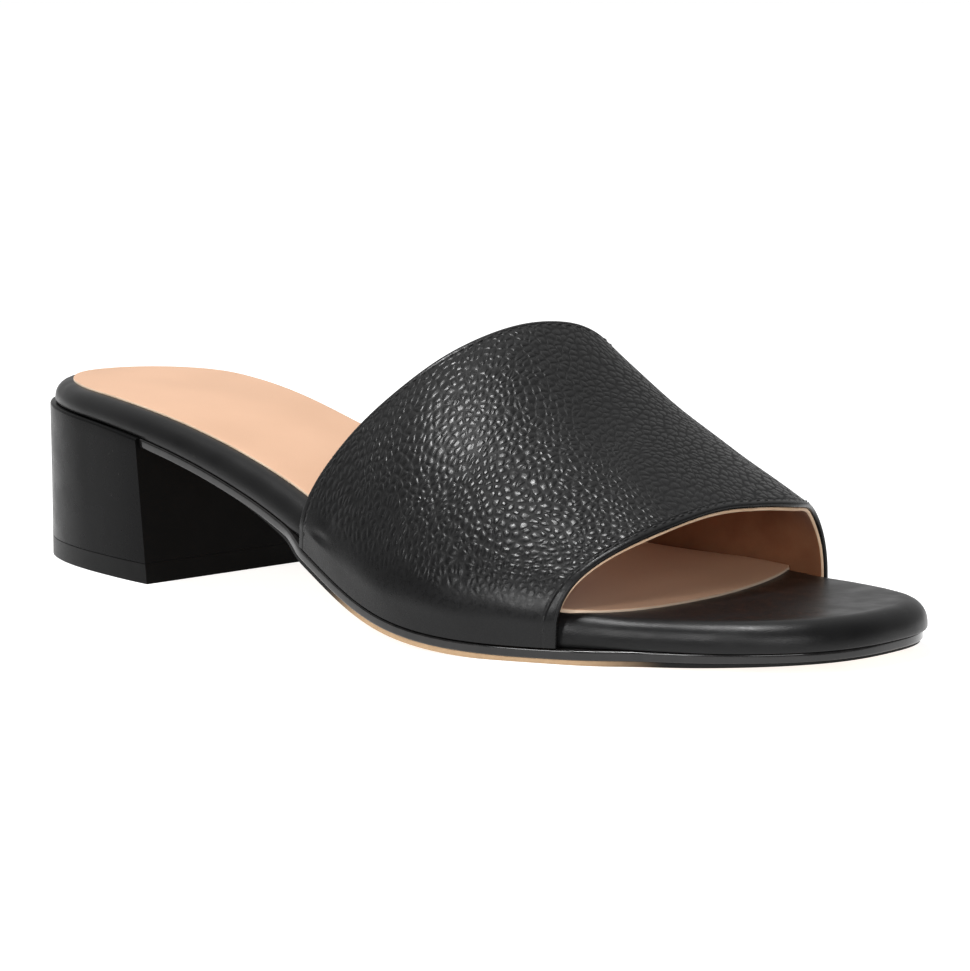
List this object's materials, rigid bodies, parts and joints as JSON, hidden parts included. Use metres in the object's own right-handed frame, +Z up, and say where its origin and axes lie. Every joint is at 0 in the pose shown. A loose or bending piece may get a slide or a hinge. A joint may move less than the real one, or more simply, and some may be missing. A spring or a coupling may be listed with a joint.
{
  "type": "block heel slide sandal",
  "caption": "Open-toe, open-back slide sandal with a wide pebbled leather band, padded footbed, thin sole and covered D-shaped block heel; right foot.",
  "frame": {"origin": "centre of the bounding box's bottom, on the floor the shoe stands on", "axes": "+X towards the toe, +Y the medial side, -Y the lateral side, +Z up"},
  "size_m": [0.2468, 0.0968, 0.0668],
  "materials": {
    "outsole": "black painted edge over a natural leather bottom",
    "footbed": "smooth black leather, satin",
    "sock_lining": "smooth nude leather, matt",
    "upper": "pebbled black leather, semi-gloss",
    "heel_block": "smooth black leather cover, semi-gloss",
    "top_lift": "matt black"
  },
  "bodies": {
    "root": {"outsole": "outsole", "footbed": "footbed", "sock_lining": "sock_lining", "upper": "upper", "heel_block": "heel_block", "top_lift": "top_lift"}
  },
  "joints": []
}
